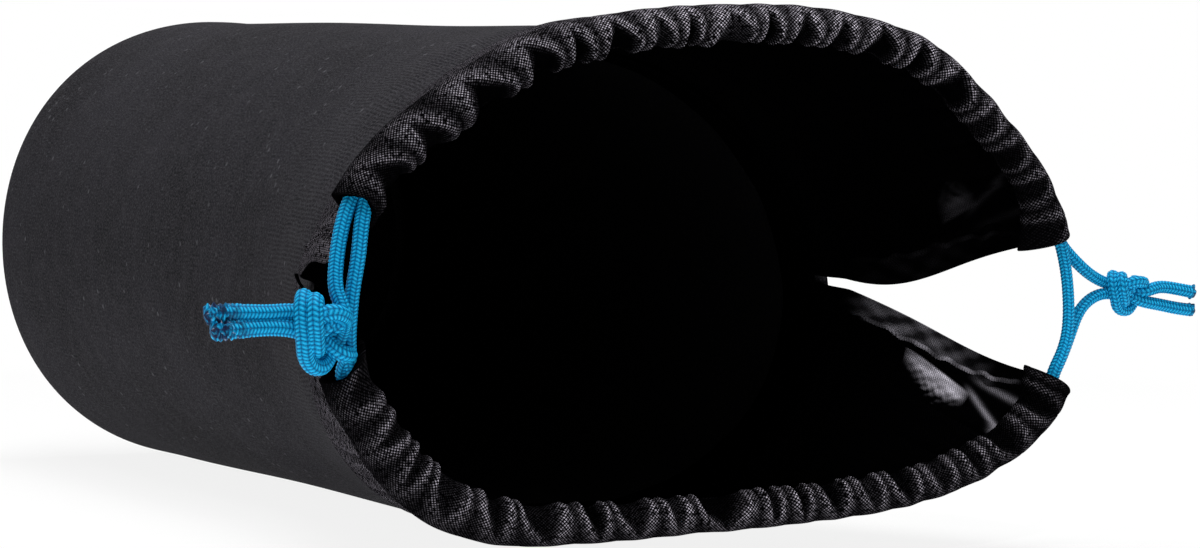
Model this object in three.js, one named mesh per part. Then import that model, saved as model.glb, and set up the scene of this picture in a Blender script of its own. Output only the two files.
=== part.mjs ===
// Padded drawstring lens pouch, lying on its side with its mouth towards -Y.
// Millimetres, +Z up. The tube's axis runs along Y, and the origin is the middle of the strip
// that the pouch lies on.
import * as THREE from 'three';

// Padded tube
const BODY_RADIUS = 63.5;
const BODY_LENGTH = 262;
const SHELL_WALL = 4;
const REST_FLAT = 1.5;
const BASE_EDGE_RADIUS = 9;
const BASE_EDGE_STEPS = 4;
const TUBE_SEGMENTS = 40;

// Mouth of the tube, drawn wide by the collar: each side stands out by the spread, less above
// the axis and more below it by the sag, and the tube is round again behind the flare
const MOUTH_SPREAD = 9;
const MOUTH_SAG = 9;
const FLARE_LENGTH = 80;
const FLARE_STEPS = 4;

// Layers inside the tube
const LAYER_GAP = 0.3;
const LINING_THICKNESS = 1;
const BASE_PAD_THICKNESS = 10;
const BINDING_THICKNESS = 1;
const BINDING_WIDTH = 12;
const SEAM_TAPE_WIDTH = 7;

// Woven collar: two panels from the rim to the hem, parted by a slit on each side
const COLLAR_LENGTH = 71;
const COLLAR_THICKNESS = 0.8;
const COLLAR_TUCK = 8;
const COLLAR_CLEARANCE = 0.7;
const COLLAR_BULGE = 3;
const COLLAR_COLUMNS = 36;
const COLLAR_ROWS = 5;
const SLIT_HALF_WIDTH = 1;

// Hem: a flattened loop across the mouth, with its own height and squareness above and below.
// The slit heights are where the tunnels end, above and below the axis.
const HEM_CENTRE_X = 3.25;
const HEM_CENTRE_Z = 2;
const HEM_HALF_SPAN = 94.25;
const HEM_RISE = 62;
const HEM_DROP = 52;
const HEM_RISE_POWER = 2.2;
const HEM_DROP_POWER = 3;
const SLIT_TOP_LEFT = 24;
const SLIT_TOP_RIGHT = 12;
const SLIT_BOTTOM_LEFT = -15;
const SLIT_BOTTOM_RIGHT = -21;

// Gathered drawcord tunnel along the hem
const TUNNEL_WALL = 1.9;
const TUNNEL_CLEARANCE = 1;
const TUNNEL_SIDES = 10;
const GATHER_DEPTH = 0.6;
const UPPER_GATHERS = 24;
const LOWER_GATHERS = 22;
const RINGS_PER_GATHER = 4;
const RINGS_PER_BORE_RING = 2;

// Two drawcords, side by side in the tunnels
const CORD_DIAMETER = 3.5;
const CORD_GAP = 0.4;
const CORD_SIDES = 8;
const STEP_DIAMETERS = 2.2;

// Overhand knots, where the cord is pulled thinner, and the cut ends that stick out of them.
// A knot's place is given across the mouth, forward of its own cord, and above the axis.
const KNOT_CORD_DIAMETER = 3;
const KNOT_SCALE = 2.5;
const KNOT_DEPTH = 1.6;
const KNOT_OPENING = 0.7;
const KNOT_ARM = 8.5;
const KNOT_ARM_LIFT = 7;
const KNOT_ARM_BEND = 0.62;
const KNOT_POINTS = 28;
const KNOT_STEPS = 44;
const LEFT_KNOT = { x: -99, forward: 4.5, z: -6 };
const RIGHT_KNOT = { x: 115.5, forward: 0, z: -3 };
const LEAD_SPLAY = 0.4;
const LEFT_TAIL_LENGTH = 18;
const RIGHT_TAIL_LENGTH = 12;
const TAIL_SPREAD = 1.5;
const TAIL_CURL = 0.3;

// Places along the pouch
const RIM_Y = -BODY_LENGTH / 2;
const BASE_Y = BODY_LENGTH / 2;
const HEM_Y = RIM_Y - COLLAR_LENGTH;
const PAD_BACK_Y = BASE_Y - SHELL_WALL - LAYER_GAP;
const PAD_FRONT_Y = PAD_BACK_Y - BASE_PAD_THICKNESS;
const FLOOR_BACK_Y = PAD_FRONT_Y - LAYER_GAP;
const FLOOR_FRONT_Y = FLOOR_BACK_Y - LINING_THICKNESS;

// Radii of the layers, from the outside in
const SHELL_INNER = BODY_RADIUS - SHELL_WALL;
const LAYER_OUTER = SHELL_INNER - LAYER_GAP;
const LINING_INNER = LAYER_OUTER - LINING_THICKNESS;
const COLLAR_OUTER = SHELL_INNER - COLLAR_CLEARANCE;
const BINDING_OUTER = COLLAR_OUTER - COLLAR_THICKNESS - COLLAR_CLEARANCE;
const BASE_OPENING = BODY_RADIUS - BASE_EDGE_RADIUS;

// The cord that is knotted on the left lies in front, and the other one behind it
const CORD_OFFSET = (CORD_DIAMETER + CORD_GAP) / 2;
const FRONT_CORD_Y = HEM_Y - CORD_OFFSET;
const BACK_CORD_Y = HEM_Y + CORD_OFFSET;

// Half sizes of the tunnel's oval bore and of its outside, across the hem and along the pouch
const BORE_ACROSS = CORD_DIAMETER / 2 + TUNNEL_CLEARANCE;
const BORE_ALONG = CORD_OFFSET + CORD_DIAMETER / 2 + TUNNEL_CLEARANCE;
const TUNNEL_ACROSS = BORE_ACROSS + TUNNEL_WALL;
const TUNNEL_ALONG = BORE_ALONG + TUNNEL_WALL;

const NEOPRENE = { color: 0x343236, roughness: 0.95, metalness: 0 };
const FLEECE = { color: 0x101012, roughness: 1, metalness: 0 };
const FOAM = { color: 0x2a2a2c, roughness: 1, metalness: 0 };
const WOVEN = { color: 0x1d1b20, roughness: 0.8, metalness: 0 };
const BRAID = { color: 0x12a5d8, roughness: 0.6, metalness: 0 };

const pouch = new THREE.Group();
pouch.position.z = BODY_RADIUS - REST_FLAT;

function addPiece(name, geometry, finish) {
  const mesh = new THREE.Mesh(geometry, new THREE.MeshStandardMaterial(finish));
  mesh.name = name;
  pouch.add(mesh);
}

// Share of the mouth's spread that is left at a place along the tube
function flareAt(y) {
  const share = THREE.MathUtils.clamp(1 - (y - RIM_Y) / FLARE_LENGTH, 0, 1);
  return share * share;
}

// Point of the tube at a radius and an angle, which is 0 at +X and a quarter turn at the top:
// a circle that is pressed flat underneath and spread sideways near the mouth
function tubePoint(radius, angle, y) {
  const side = radius + flareAt(y) * (MOUTH_SPREAD - MOUTH_SAG * Math.sin(angle));
  const floor = Math.min(REST_FLAT - radius, 0);
  return new THREE.Vector3(side * Math.cos(angle), y, Math.max(radius * Math.sin(angle), floor));
}

// Solid turned about the pouch's axis from a profile of [radius, y], then shaped as the tube is
function turned(profile) {
  const points = profile.map(([radius, y]) => new THREE.Vector2(radius, y));
  const geometry = new THREE.LatheGeometry(points, TUBE_SEGMENTS);
  const position = geometry.attributes.position;
  for (let i = 0; i < position.count; i += 1) {
    const radius = Math.hypot(position.getX(i), position.getZ(i));
    const angle = Math.atan2(position.getZ(i), position.getX(i));
    const shaped = tubePoint(radius, angle, position.getY(i));
    position.setXYZ(i, shaped.x, shaped.y, shaped.z);
  }
  return geometry;
}

// Rows of [radius, y] along a wall, with steps where the wall crosses the flare
function wallRows(radius, startY, endY) {
  const stops = [];
  for (let i = 1; i <= FLARE_STEPS; i += 1) {
    stops.push(RIM_Y + (FLARE_LENGTH * i) / FLARE_STEPS);
  }
  const between = stops.filter((y) => y > startY && y < endY);
  return [startY, ...between, endY].map((y) => [radius, y]);
}

// Quarter round of [radius, y] from the wall to the base
function baseRound(edge) {
  const rows = [];
  for (let i = 1; i <= BASE_EDGE_STEPS; i += 1) {
    const angle = ((i / BASE_EDGE_STEPS) * Math.PI) / 2;
    const radius = BASE_OPENING + edge * Math.cos(angle);
    rows.push([radius, BASE_Y - BASE_EDGE_RADIUS + edge * Math.sin(angle)]);
  }
  return rows;
}

// Tube wall between two radii, open at both ends
function sleeve(outer, inner, startY, endY) {
  const rows = [...wallRows(outer, startY, endY), ...wallRows(inner, startY, endY).reverse()];
  return turned([...rows, rows[0]]);
}

// Flat round piece between two places along the axis
function disc(radius, frontY, backY) {
  return turned([[0, frontY], [radius, frontY], [radius, backY], [0, backY]]);
}

function shell() {
  const roundY = BASE_Y - BASE_EDGE_RADIUS;
  const outside = [...wallRows(BODY_RADIUS, RIM_Y, roundY), ...baseRound(BASE_EDGE_RADIUS)];
  const innerEdge = BASE_EDGE_RADIUS - SHELL_WALL;
  const inside = [...wallRows(SHELL_INNER, RIM_Y, roundY), ...baseRound(innerEdge)];
  const rows = [...outside, ...inside.reverse()];
  return turned([...rows, rows[0]]);
}

function basePad() {
  const chamfer = BASE_EDGE_RADIUS - SHELL_WALL;
  return turned([
    [0, PAD_FRONT_Y],
    [LAYER_OUTER, PAD_FRONT_Y],
    [LAYER_OUTER, PAD_BACK_Y - chamfer],
    [LAYER_OUTER - chamfer, PAD_BACK_Y],
    [0, PAD_BACK_Y],
  ]);
}

// Half of the hem's loop, run clockwise as seen from the front, between two slit heights
class HemCurve extends THREE.Curve {
  constructor(height, power, startZ, endZ) {
    super();
    this.height = height;
    this.power = power;
    this.side = Math.sign(height);
    this.start = Math.PI - this.angleAt(startZ);
    this.end = this.angleAt(endZ);
  }

  angleAt(z) {
    return Math.asin(((z - HEM_CENTRE_Z) / this.height) ** (this.power / 2));
  }

  getPoint(t) {
    const angle = THREE.MathUtils.lerp(this.start, this.end, t);
    const across = Math.sign(Math.cos(angle)) * Math.abs(Math.cos(angle)) ** (2 / this.power);
    const up = Math.sin(angle) ** (2 / this.power);
    const x = HEM_CENTRE_X + this.side * HEM_HALF_SPAN * across;
    return new THREE.Vector3(x, HEM_Y, HEM_CENTRE_Z + this.height * up);
  }
}

const upperHem = new HemCurve(HEM_RISE, HEM_RISE_POWER, SLIT_TOP_LEFT, SLIT_TOP_RIGHT);
const lowerHem = new HemCurve(-HEM_DROP, HEM_DROP_POWER, SLIT_BOTTOM_RIGHT, SLIT_BOTTOM_LEFT);

// Solid from rings of equal length, closed round each ring and from the last ring to the first
function ringLoop(rings) {
  const sides = rings[0].length;
  const index = [];
  rings.forEach((ring, i) => {
    const next = ((i + 1) % rings.length) * sides;
    ring.forEach((point, j) => {
      const k = (j + 1) % sides;
      index.push(i * sides + j, next + j, next + k);
      index.push(i * sides + j, next + k, i * sides + k);
    });
  });
  return new THREE.BufferGeometry().setFromPoints(rings.flat()).setIndex(index);
}

// Collar panel: a sheet whose rows run from inside the rim, out of the mouth, to the tunnel
function collarPanel(hem, firstAngle) {
  const slit = Math.asin(SLIT_HALF_WIDTH / COLLAR_OUTER);
  const endY = HEM_Y + TUNNEL_ALONG + GATHER_DEPTH + LAYER_GAP;
  const rowAt = (y, share) => {
    const row = [];
    for (let i = 0; i <= COLLAR_COLUMNS; i += 1) {
      const along = i / COLLAR_COLUMNS;
      const angle = firstAngle - THREE.MathUtils.lerp(slit, Math.PI - slit, along);
      const root = tubePoint(COLLAR_OUTER, angle, Math.max(y, RIM_Y));
      const point = root.lerp(hem.getPointAt(along), share).setY(y);
      const bulge = COLLAR_BULGE * Math.sin(Math.PI * share);
      row.push(point.add(new THREE.Vector3(Math.cos(angle), 0, Math.sin(angle)).multiplyScalar(bulge)));
    }
    return row;
  };
  const rows = [rowAt(RIM_Y + COLLAR_TUCK, 0)];
  for (let i = 0; i <= COLLAR_ROWS; i += 1) {
    const share = i / COLLAR_ROWS;
    rows.push(rowAt(THREE.MathUtils.lerp(RIM_Y, endY, share), share));
  }
  return sheet(rows, COLLAR_THICKNESS);
}

// Closed sheet: the rows are its outer face, and the inner face lies one thickness inside it
function sheet(rows, thickness) {
  const inner = rows.map((row, i) => row.map((point, j) => {
    const along = row[Math.min(j + 1, row.length - 1)].clone().sub(row[Math.max(j - 1, 0)]);
    const ahead = rows[Math.min(i + 1, rows.length - 1)][j].clone();
    const down = ahead.sub(rows[Math.max(i - 1, 0)][j]);
    return point.clone().addScaledVector(along.cross(down).normalize(), thickness);
  }));
  const rings = rows.map((row, i) => [...row, ...inner[i].reverse()]);
  const geometry = ringLoop(rings);
  return capped(geometry, rings);
}

// Opens a ring loop between its last and first rings, and closes those two with strips
function capped(geometry, rings) {
  const sides = rings[0].length;
  const index = Array.from(geometry.index.array).slice(0, (rings.length - 1) * sides * 6);
  const last = (rings.length - 1) * sides;
  for (let j = 0; j < sides / 2 - 1; j += 1) {
    const back = sides - 1 - j;
    index.push(j, j + 1, back - 1, j, back - 1, back);
    index.push(last + j, last + back - 1, last + j + 1, last + j, last + back, last + back - 1);
  }
  return geometry.setIndex(index);
}

// Gathered tunnel: an oval tube along the hem whose slanting puckers wind round it
function tunnel(hem, gathers) {
  const steps = gathers * RINGS_PER_GATHER;
  const ringAt = (i, across, along, depth) => {
    const share = i / steps;
    const centre = hem.getPointAt(share);
    const outward = hem.getTangentAt(share).cross(new THREE.Vector3(0, 1, 0));
    const ring = [];
    for (let j = 0; j < TUNNEL_SIDES; j += 1) {
      const angle = (2 * Math.PI * j) / TUNNEL_SIDES;
      const pucker = depth * Math.sin(2 * Math.PI * gathers * share - angle);
      const point = centre.clone().addScaledVector(outward, (across + pucker) * Math.cos(angle));
      ring.push(point.setY(point.y + (along + pucker) * Math.sin(angle)));
    }
    return ring;
  };
  const rings = [];
  for (let i = 0; i <= steps; i += 1) {
    rings.push(ringAt(i, TUNNEL_ACROSS, TUNNEL_ALONG, GATHER_DEPTH));
  }
  for (let i = steps; i >= 0; i -= RINGS_PER_BORE_RING) {
    rings.push(ringAt(i, BORE_ACROSS, BORE_ALONG, 0));
  }
  return ringLoop(rings);
}

// Round cord along a smooth path through its points
function cord(points, diameter, steps) {
  const path = new THREE.CatmullRomCurve3(points);
  const section = new THREE.Shape();
  for (let i = 0; i < CORD_SIDES; i += 1) {
    const angle = (2 * Math.PI * i) / CORD_SIDES;
    const corner = new THREE.Vector2(Math.cos(angle), Math.sin(angle)).multiplyScalar(diameter / 2);
    if (i === 0) section.moveTo(corner.x, corner.y);
    else section.lineTo(corner.x, corner.y);
  }
  const count = steps ?? Math.ceil(path.getLength() / (STEP_DIAMETERS * diameter));
  return new THREE.ExtrudeGeometry(section, { steps: count, extrudePath: path, bevelEnabled: false });
}

function tunnelRun(hem, y) {
  const points = hem.getSpacedPoints(COLLAR_COLUMNS).map((point) => point.setY(y));
  return cord(points, CORD_DIAMETER);
}

// Where a cord leaves a tunnel: the end's place in the bore, and the way out of it
function tunnelMouth(hem, share, y) {
  const out = hem.getTangentAt(share).multiplyScalar(share === 0 ? -1 : 1);
  return { place: hem.getPointAt(share).setY(y).addScaledVector(out, LAYER_GAP), out };
}

// Stretch of cord that crosses a slit from the upper tunnel to the lower one
function crossing(from, to) {
  const lead = CORD_DIAMETER;
  return cord([
    from.place,
    from.place.clone().addScaledVector(from.out, lead),
    to.place.clone().addScaledVector(to.out, lead),
    to.place,
  ], CORD_DIAMETER);
}

// Overhand knot: a trefoil whose top lobe is opened into two arms, one to each side
function knot(centre) {
  const points = [];
  for (let i = 0; i < KNOT_POINTS; i += 1) {
    const share = i / (KNOT_POINTS - 1);
    const turn = THREE.MathUtils.lerp(Math.PI + KNOT_OPENING, 3 * Math.PI - KNOT_OPENING, share);
    points.push(new THREE.Vector3(
      Math.sin(turn) + 2 * Math.sin(2 * turn),
      -KNOT_DEPTH * Math.sin(3 * turn),
      2 * Math.cos(2 * turn) - Math.cos(turn),
    ).multiplyScalar(KNOT_SCALE).add(centre));
  }
  const arm = (share) => new THREE.Vector3(share * KNOT_ARM, 0, KNOT_ARM_LIFT).add(centre);
  const path = [arm(1), arm(KNOT_ARM_BEND), ...points, arm(-KNOT_ARM_BEND), arm(-1)];
  return cord(path, KNOT_CORD_DIAMETER, KNOT_STEPS);
}

// Cord from a tunnel's mouth to the inner arm of a knot, above or below the other one there
function lead(mouth, centre, side, level) {
  const arm = new THREE.Vector3(-side * (KNOT_ARM + LAYER_GAP), 0, KNOT_ARM_LIFT).add(centre);
  const end = arm.add(new THREE.Vector3(0, 0, level * CORD_OFFSET));
  const splay = new THREE.Vector3(-side, 0, level * LEAD_SPLAY);
  const before = end.clone().addScaledVector(splay, CORD_DIAMETER);
  const first = mouth.place.clone().addScaledVector(mouth.out, CORD_DIAMETER);
  return cord([mouth.place, first, before, end], CORD_DIAMETER);
}

// Cut end of a cord, from the outer arm of a knot
function tail(centre, side, level, length) {
  const root = new THREE.Vector3(side * (KNOT_ARM + LAYER_GAP), 0, KNOT_ARM_LIFT).add(centre);
  root.z += level * CORD_OFFSET;
  const reach = new THREE.Vector3(side * length, 0, 0);
  const spread = new THREE.Vector3(0, 0, level * TAIL_SPREAD);
  const middle = root.clone().addScaledVector(reach, 1 / 2).addScaledVector(spread, TAIL_CURL);
  const tip = root.clone().add(reach).add(spread);
  return cord([root, middle, tip], CORD_DIAMETER);
}

addPiece('body_shell', shell(), NEOPRENE);
addPiece('base_disc', disc(BASE_OPENING - LAYER_GAP, BASE_Y - SHELL_WALL, BASE_Y), NEOPRENE);
addPiece('base_pad', basePad(), FOAM);

const liningY = RIM_Y + BINDING_WIDTH + LAYER_GAP;
addPiece('body_lining', sleeve(LAYER_OUTER, LINING_INNER, liningY, FLOOR_BACK_Y), FLEECE);
addPiece('base_lining', disc(LINING_INNER - LAYER_GAP, FLOOR_FRONT_Y, FLOOR_BACK_Y), FLEECE);

const tapeOuter = LINING_INNER - LAYER_GAP;
const tapeBackY = FLOOR_FRONT_Y - LAYER_GAP;
const tapeFrontY = tapeBackY - SEAM_TAPE_WIDTH;
addPiece('base_seam_tape', sleeve(tapeOuter, tapeOuter - BINDING_THICKNESS, tapeFrontY, tapeBackY), WOVEN);

const bindingInner = BINDING_OUTER - BINDING_THICKNESS;
addPiece('mouth_binding', sleeve(BINDING_OUTER, bindingInner, RIM_Y, RIM_Y + BINDING_WIDTH), WOVEN);

addPiece('collar_upper', collarPanel(upperHem, Math.PI), WOVEN);
addPiece('collar_lower', collarPanel(lowerHem, 2 * Math.PI), WOVEN);
addPiece('hem_upper', tunnel(upperHem, UPPER_GATHERS), WOVEN);
addPiece('hem_lower', tunnel(lowerHem, LOWER_GATHERS), WOVEN);

// Each cord runs in both tunnels, is knotted on its own side and crosses the other side's slit
const drawcords = [
  { name: 'left', side: -1, y: FRONT_CORD_Y, knot: LEFT_KNOT, tail: LEFT_TAIL_LENGTH },
  { name: 'right', side: 1, y: BACK_CORD_Y, knot: RIGHT_KNOT, tail: RIGHT_TAIL_LENGTH },
];
drawcords.forEach((drawcord) => {
  const { name, side, y } = drawcord;
  const centre = new THREE.Vector3(drawcord.knot.x, y - drawcord.knot.forward, drawcord.knot.z);
  const upperOwn = tunnelMouth(upperHem, side < 0 ? 0 : 1, y);
  const lowerOwn = tunnelMouth(lowerHem, side < 0 ? 1 : 0, y);
  const upperFar = tunnelMouth(upperHem, side < 0 ? 1 : 0, y);
  const lowerFar = tunnelMouth(lowerHem, side < 0 ? 0 : 1, y);
  addPiece(`${name}_cord_upper_run`, tunnelRun(upperHem, y), BRAID);
  addPiece(`${name}_cord_lower_run`, tunnelRun(lowerHem, y), BRAID);
  addPiece(`${name}_cord_crossing`, crossing(upperFar, lowerFar), BRAID);
  addPiece(`${name}_cord_upper_lead`, lead(upperOwn, centre, side, 1), BRAID);
  addPiece(`${name}_cord_lower_lead`, lead(lowerOwn, centre, side, -1), BRAID);
  addPiece(`${name}_knot`, knot(centre), BRAID);
  addPiece(`${name}_tail_upper`, tail(centre, side, 1, drawcord.tail), BRAID);
  addPiece(`${name}_tail_lower`, tail(centre, side, -1, drawcord.tail), BRAID);
});

export default pouch;
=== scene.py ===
"""A padded lens pouch on its side: a foam tube, a gathered woven collar and two braided drawcords."""

import bpy
import numpy as np
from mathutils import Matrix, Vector


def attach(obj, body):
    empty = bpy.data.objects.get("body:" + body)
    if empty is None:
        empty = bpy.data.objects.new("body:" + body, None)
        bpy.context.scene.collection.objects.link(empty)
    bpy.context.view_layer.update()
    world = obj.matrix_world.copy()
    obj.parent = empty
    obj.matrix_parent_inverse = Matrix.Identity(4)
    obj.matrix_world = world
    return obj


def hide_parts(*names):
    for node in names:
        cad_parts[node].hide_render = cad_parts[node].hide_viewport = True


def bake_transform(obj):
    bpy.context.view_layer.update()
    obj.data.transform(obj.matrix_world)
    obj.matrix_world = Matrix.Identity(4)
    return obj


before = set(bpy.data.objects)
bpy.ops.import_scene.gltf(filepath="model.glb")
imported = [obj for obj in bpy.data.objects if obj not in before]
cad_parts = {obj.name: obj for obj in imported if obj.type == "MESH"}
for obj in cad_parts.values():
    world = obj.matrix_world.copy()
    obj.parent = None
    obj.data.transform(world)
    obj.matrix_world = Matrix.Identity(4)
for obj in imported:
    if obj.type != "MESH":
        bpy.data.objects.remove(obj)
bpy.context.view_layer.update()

# Places are in millimetres until a mesh is made.
MM = 0.001
TURN = 2 * np.pi
ALONG_Y = np.array([0, 1.0, 0])

# The tube lies along Y with its axis at this height, from its rim to its base. The hems lie before the rim.
AXIS = 62.0
RIM = -131.0
BASE = 131.0
HEM = -202.0

# The tube's radius outside and inside, the hole for its base, the innermost ring of a disc, the tube's
# rounded edge, and how far it is flattened.
OUTER = 63.5
INNER = 59.5
HOLE = 54.5
POLE = 0.05
EDGE = 2.0
FLAT = 1.5

# Near the mouth the tube's sides stand out by this much, falling off over this length.
SPREAD = 9.0
SPREAD_LENGTH = 80.0

# The hems' loop: its middle across, its middle above the axis, and half its width.
LOOP_X = 3.25
LOOP_Z = 2.0
LOOP_HALF = 94.25

# The collar: the radius where it is sewn in, half the slit there, the length of half its front edge, how
# far its panels stop behind the hems' line, and the length over which a slit's own shape fades out.
SEWN = 58.8
SLIT = 1.0
HALF_LENGTH = 205.0
TUNNEL_BACK = 5.4
SLIT_FADE = 14.0

# The drawcord's width, and half of the bore of a tunnel across and along the pouch.
CORD = 3.5
BORE_ACROSS = 2.5
BORE_ALONG = 4.2


# Shared shapes


def ease(x, low, high):
    """Smooth step from 0 at low to 1 at high: 3t squared less 2t cubed."""
    t = np.clip((x - low) / (high - low), 0, 1)
    return t * t * (3 - 2 * t)


def bell(x, centre, width):
    """Rounded hump of height 1: e to minus the square of the distance from its centre, in widths."""
    return np.exp(-(((x - centre) / width) ** 2))


def read_along(share, values):
    """Values spaced evenly along a length, read at each share of it in straight steps."""
    return np.interp(share, np.linspace(0, 1, len(values)), values)


def ripples(a, b, seed, count=7, lowest=1.0, highest=4.0):
    """Soft uneven surface, about -1 to 1: a sum of sine waves over a and b with seeded rates and phases."""
    rng = np.random.default_rng(seed)
    rate_a, rate_b = rng.uniform(lowest, highest, (2, count))
    sign = rng.choice([-1, 1], count)
    phase = rng.uniform(0, TURN, count)
    waves = [np.sin(rate_a[k] * a + sign[k] * rate_b[k] * b + phase[k]) for k in range(count)]
    return sum(waves) / np.sqrt(count)


def dress(name, grid, pattern, finish, wrap_rows=False, wrap_cols=False, ends=False, flip=False):
    """Mesh over a grid of points: each face joins four neighbours. A wrapped side joins its last line to
    its first, and ends fills the first and last ring. pattern is each point's place on the cloth, one line
    longer where the grid wraps."""
    rows, cols = grid.shape[:2]
    i, j = np.meshgrid(np.arange(rows - (not wrap_rows)), np.arange(cols - (not wrap_cols)), indexing="ij")
    i = i.ravel()
    j = j.ravel()
    corners = [(i, j), (i, j + 1), (i + 1, j + 1), (i + 1, j)]
    faces = np.stack([(a % rows) * cols + b % cols for a, b in corners], axis=1)
    places = np.stack([pattern[a, b] for a, b in corners], axis=1)
    points = grid.reshape(-1, 3) * MM
    closed = wrap_cols and (wrap_rows or ends)
    p = points[faces] - points.mean(0)
    volume = (p[:, 0] * (np.cross(p[:, 1], p[:, 2]) + np.cross(p[:, 2], p[:, 3]))).sum()
    turned = flip or (closed and volume < 0)
    if turned:
        faces = faces[:, ::-1]
        places = places[:, ::-1]
    listed = faces.tolist()
    spots = [places.reshape(-1, 2)]
    if ends:
        first = np.arange(cols)
        last = (rows - 1) * cols + first
        listed += [(first if turned else first[::-1]).tolist(), (last[::-1] if turned else last).tolist()]
        spots += [np.repeat(pattern[:1, 0], cols, 0), np.repeat(pattern[-1:, 0], cols, 0)]
    mesh = bpy.data.meshes.new(name)
    mesh.from_pydata(points.tolist(), [], listed)
    cloth = mesh.uv_layers.new(name="cloth")
    cloth.data.foreach_set("uv", np.concatenate(spots).astype(np.float32).ravel())
    mesh.polygons.foreach_set("use_smooth", np.ones(len(mesh.polygons), bool))
    mesh.materials.append(finish)
    mesh.update()
    piece = bpy.data.objects.new(name, mesh)
    bpy.context.scene.collection.objects.link(piece)
    return piece


def mark(piece, label, value):
    """Keeps a number at each point of a piece for its finish to read."""
    spread = piece.data.attributes.new(label, "FLOAT", "POINT")
    spread.data.foreach_set("value", np.asarray(value, np.float32).ravel())


def set_piece(piece, body, slot, *nodes):
    """A piece that rides on a body in place of the nodes it stands for. slot is not used."""
    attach(piece, body)
    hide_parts(*nodes)
    return piece


def ring_pattern(along, around):
    """Cloth places for a ringed piece, in metres: the distance round it, then the distance along it."""
    u, v = np.meshgrid(around, along)
    return np.stack([u, v], axis=2) * MM


def distance_along(line):
    """Distance of each point from the first, measured along the line: the running sum of the steps."""
    steps = np.linalg.norm(np.diff(line, axis=0), axis=1)
    return np.concatenate([[0], np.cumsum(steps)])


def smooth_route(points, step):
    """Natural cubic curve through the points by chord length, with places about one step apart along it."""
    p = np.asarray(points, float)
    t = distance_along(p)
    h = np.diff(t)
    n = len(p)
    k = np.arange(1, n - 1)
    system = np.eye(n)
    system[k, k - 1] = h[:-1]
    system[k, k] = 2 * (h[:-1] + h[1:])
    system[k, k + 1] = h[1:]
    slope = np.diff(p, axis=0) / h[:, None]
    right = np.zeros((n, 3))
    right[1:-1] = 6 * np.diff(slope, axis=0)
    bend = np.linalg.solve(system, right)
    at = np.linspace(0, t[-1], max(8, int(t[-1] / (0.3 * step))))
    i = np.clip(np.searchsorted(t, at) - 1, 0, n - 2)
    d = (at - t[i])[:, None]
    g = h[i][:, None]
    curve = p[i] + d * (slope[i] - g * (2 * bend[i] + bend[i + 1]) / 6)
    curve += d**2 * bend[i] / 2 + d**3 * (bend[i + 1] - bend[i]) / (6 * g)
    return spaced(curve, step)


def spaced(curve, step):
    """The same line with its places an equal distance apart."""
    s = distance_along(curve)
    at = np.linspace(0, s[-1], max(2, int(round(s[-1] / step)) + 1))
    return np.stack([np.interp(at, s, curve[:, k]) for k in range(3)], axis=1)


def across_route(route):
    """Two directions square to a route that turn only with it: each is the last less its part along it."""
    along = np.gradient(route, axis=0)
    along /= np.linalg.norm(along, axis=1)[:, None]
    side = np.empty_like(route)
    side[0] = np.cross(along[0], np.eye(3)[np.argmin(np.abs(along[0]))])
    side[0] /= np.linalg.norm(side[0])
    for k in range(1, len(route)):
        side[k] = side[k - 1] - along[k] * (side[k - 1] @ along[k])
        side[k] /= np.linalg.norm(side[k])
    return side, np.cross(along, side)


# Finishes


class Nodes:
    """Short ways to add nodes to a tree."""

    def __init__(self, tree):
        self.tree = tree

    def add(self, kind, settings=None, **sockets):
        """New node. Sockets are named with underscores for spaces, or numbered as s0, s1 and so on."""
        node = self.tree.nodes.new(kind)
        for key, value in (settings or {}).items():
            setattr(node, key, value)
        for key, value in sockets.items():
            socket = int(key[1:]) if key[1:].isdigit() else key.replace("_", " ")
            self.feed(node.inputs[socket], value)
        return node

    def feed(self, socket, value):
        """Links a socket to a node's output, or sets it to a number or colour."""
        if isinstance(value, bpy.types.NodeSocket):
            self.tree.links.new(value, socket)
        else:
            socket.default_value = value

    def maths(self, operation, a, b=0.0):
        return self.add("ShaderNodeMath", {"operation": operation}, s0=a, s1=b).outputs[0]

    def times(self, a, b):
        return self.maths("MULTIPLY", a, b)


class Finish(Nodes):
    """A material, its shader and the nodes that feed it."""

    def __init__(self, name, colour, roughness):
        self.material = bpy.data.materials.new(name)
        self.material.use_nodes = True
        super().__init__(self.material.node_tree)
        self.shader = self.tree.nodes["Principled BSDF"]
        self.shader.inputs["Base Color"].default_value = (*colour, 1)
        self.shader.inputs["Roughness"].default_value = roughness

    def cloth(self):
        """Place on the cloth, in metres."""
        return self.add("ShaderNodeUVMap", {"uv_map": "cloth"}).outputs[0]

    def marked(self, label):
        """The number that mark keeps under a label."""
        return self.add("ShaderNodeAttribute", {"attribute_name": label}).outputs["Fac"]

    def blend(self, share, first, second):
        node = self.add("ShaderNodeMix", {"data_type": "RGBA"}, s0=share, s6=first, s7=second)
        return node.outputs[2]

    def noise(self, place, scale, detail=2.0, rough=0.5):
        """Soft noise of so many cells to the metre."""
        node = self.add("ShaderNodeTexNoise", Vector=place, Scale=scale, Detail=detail, Roughness=rough)
        return node.outputs["Fac"]

    def ramp(self, share, low, high):
        """Smooth step from 0 at low to 1 at high."""
        node = self.add("ShaderNodeMapRange", {"interpolation_type": "SMOOTHSTEP"}, Value=share)
        node.inputs["From Min"].default_value = low
        node.inputs["From Max"].default_value = high
        return node.outputs[0]

    def set(self, **sockets):
        for key, value in sockets.items():
            self.feed(self.shader.inputs[key.replace("_", " ")], value)

    def bump(self, height, strength, distance):
        node = self.add("ShaderNodeBump", Height=height, Strength=strength, Distance=distance)
        self.set(Normal=node.outputs["Normal"])


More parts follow.
